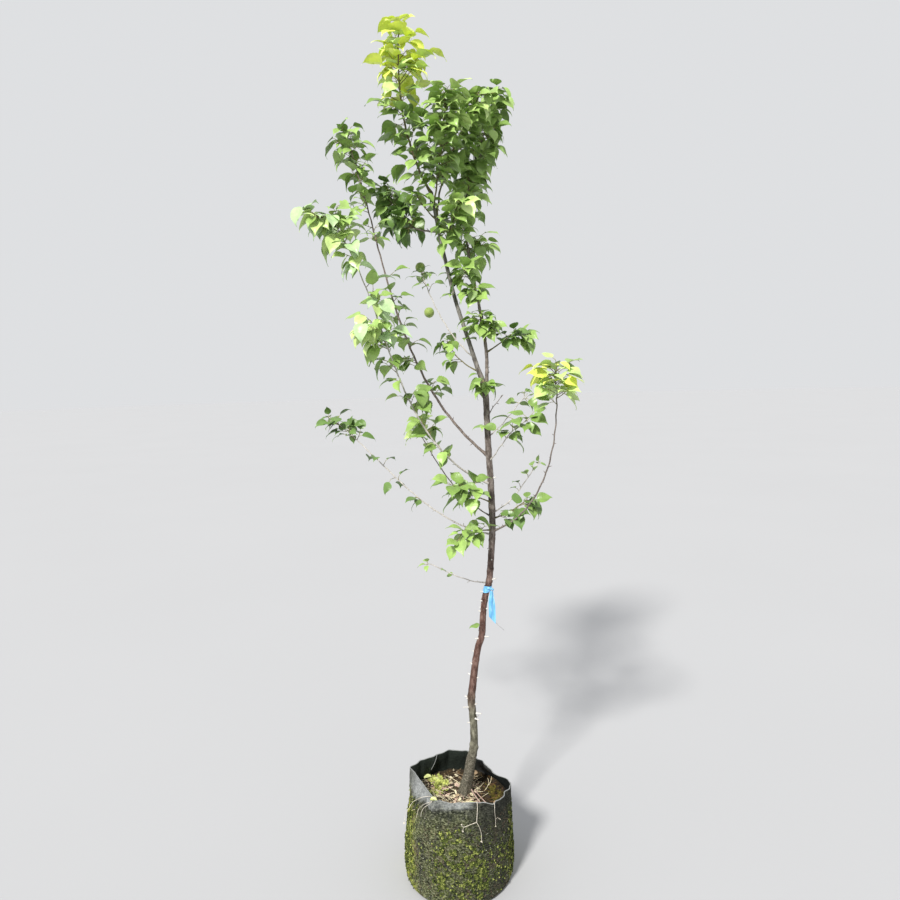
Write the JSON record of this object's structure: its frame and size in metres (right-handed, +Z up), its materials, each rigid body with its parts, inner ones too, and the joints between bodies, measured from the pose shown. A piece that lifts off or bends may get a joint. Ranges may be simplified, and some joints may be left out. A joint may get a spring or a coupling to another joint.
{
  "type": "japanese apricot tree in a fabric grow bag",
  "caption": "Young Japanese apricot tree: a slim bent trunk that forks into two stems, thin arching boughs with small round leaves and green fruit, standing in a soft fabric grow bag of soil.",
  "frame": {"origin": "centre of the grow bag's flat underside, on the ground", "axes": "+Z up; +X to the right and +Y away from the viewer, seen from the side that the picture shows"},
  "size_m": [0.6916, 0.502, 2.2475],
  "materials": {
    "bag": "matt nonwoven felt, weathered, with moss",
    "potting_mix": "damp bark chips with dry leaf litter",
    "bark": "dull mottled bark",
    "twig_bark": "smooth young bark",
    "foliage": "thin satin leaves",
    "tape": "thin glossy marker tape"
  },
  "bodies": {
    "root": {"grow_bag": "bag", "soil": "potting_mix", "trunk": "bark", "marker_tape": "tape", "right_stem": "bark", "bare_twig": "twig_bark", "top_right_bough": "twig_bark", "back_left_bough": "twig_bark", "upper_left_bough": "twig_bark", "left_bough": "twig_bark", "fruiting_bough": "twig_bark", "fork_right_bough": "twig_bark", "thin_left_bough": "twig_bark", "low_left_bough": "twig_bark", "lowest_bough": "twig_bark", "right_bough": "twig_bark", "right_back_bough": "twig_bark", "right_front_bough": "twig_bark", "right_upper_bough": "twig_bark", "right_stem_leaves": "foliage", "top_leaves": "foliage", "top_middle_leaves": "foliage", "top_right_leaves": "foliage", "back_left_leaves": "foliage", "leader_left_leaves": "foliage", "leader_right_leaves": "foliage", "right_stem_left_leaves": "foliage", "right_stem_middle_leaves": "foliage", "right_stem_low_leaves": "foliage", "upper_left_leaves": "foliage", "left_leaves": "foliage", "fruiting_leaves": "foliage", "fork_right_leaves": "foliage", "fork_left_leaves": "foliage", "trunk_front_leaves": "foliage", "thin_left_leaves": "foliage", "thin_left_base_leaves": "foliage", "low_left_leaves": "foliage", "low_left_base_leaves": "foliage", "lowest_leaves": "foliage", "right_leaves": "foliage", "right_low_leaves": "foliage", "right_back_leaves": "foliage", "right_front_leaves": "foliage", "right_upper_leaves": "foliage"}
  },
  "joints": []
}
